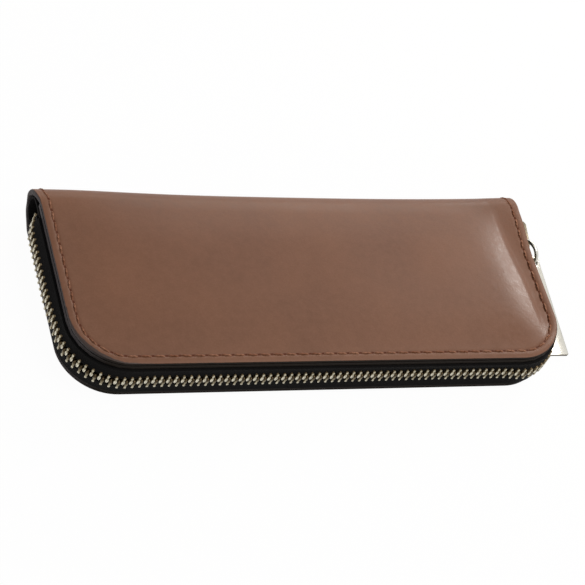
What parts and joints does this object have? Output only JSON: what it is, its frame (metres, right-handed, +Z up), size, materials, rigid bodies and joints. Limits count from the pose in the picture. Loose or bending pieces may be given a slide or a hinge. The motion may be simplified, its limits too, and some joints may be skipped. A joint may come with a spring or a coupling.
{
  "type": "manicure set case",
  "caption": "Slim zip-round leather case with a folded spine, holding manicure tools under straps; zip slider with ring and plate pull",
  "frame": {"origin": "middle of the base's flat underside, on the surface that the closed case lies on", "axes": "+X along the case towards the slider's end, +Y towards the folded spine, +Z up through the closed case"},
  "size_m": [0.1933, 0.0753, 0.0195],
  "materials": {
    "leather": "smooth satin brown hide with stitched margins and dark painted cut edges",
    "board": "black-edged stiffening board",
    "lining": "matt black suede cloth",
    "padding": "soft foam sheet",
    "tape": "black woven zip tape",
    "zip_metal": "pale antique brass, lightly polished",
    "pull_metal": "polished nickel plate",
    "tool_steel": "satin stainless steel"
  },
  "bodies": {
    "base": {"base_leather": "leather", "base_board": "board", "base_lining": "lining", "zip_tape_lower": "tape", "zip_teeth_lower": "zip_metal", "zip_teeth_lower_side": "zip_metal", "bottom_stop": "zip_metal", "top_stop_lower": "zip_metal", "strap_left": "lining", "strap_right": "lining", "strap_scissors": "lining", "scissors_lower_half": "tool_steel", "scissors_screw": "tool_steel", "tweezers": "tool_steel", "nail_file": "tool_steel", "cuticle_pusher": "tool_steel", "clipper_lower_jaw": "tool_steel", "clipper_upper_jaw": "tool_steel", "clipper_lever": "tool_steel", "clipper_pin": "tool_steel"},
    "spine": {"spine_leather": "leather", "spine_lining": "lining"},
    "cover": {"cover_leather": "leather", "cover_board": "board", "cover_padding": "padding", "cover_lining": "lining", "zip_tape_upper": "tape", "zip_teeth_upper": "zip_metal", "zip_teeth_upper_side": "zip_metal", "top_stop_upper": "zip_metal"},
    "slider": {"slider_body": "pull_metal"},
    "pull_ring": {"pull_ring": "pull_metal"},
    "pull_plate": {"pull_plate": "pull_metal"},
    "scissors_upper": {"scissors_upper_half": "tool_steel"}
  },
  "joints": [
    {"name": "spine_fold", "type": "hinge", "parent": "base", "child": "spine", "pos_m": [0, 0.03908, 0.00172], "axis": [-1, 0, 0], "range_deg": [0, 88.5]},
    {"name": "cover_fold", "type": "hinge", "parent": "spine", "child": "cover", "pos_m": [0, 0.03908, 0.01628], "axis": [-1, 0, 0], "range_deg": [0, 88.5]},
    {"name": "slider_run", "type": "slide", "parent": "base", "child": "slider", "axis": [0, -1, 0], "range_m": [0, 0.034], "deforming": ["zip_teeth_lower_side", "zip_teeth_upper_side"]},
    {"name": "ring_swing", "type": "hinge", "parent": "slider", "child": "pull_ring", "pos_m": [0.0944, 0.02305, 0.009], "axis": [0, 0, 1], "range_deg": [0, 90]},
    {"name": "plate_swing", "type": "hinge", "parent": "pull_ring", "child": "pull_plate", "pos_m": [0.09655, 0.01501, 0.0082], "axis": [0.0494, -0.1843, 0.9816], "range_deg": [0, 90]},
    {"name": "scissors_pivot", "type": "hinge", "parent": "base", "child": "scissors_upper", "pos_m": [-0.03402, -0.0089, 0.00495], "axis": [0, 0, -1], "range_deg": [0, 22]}
  ],
  "couplings": [
    {"joint": "cover_fold", "follows": "spine_fold", "ratio": 1}
  ]
}
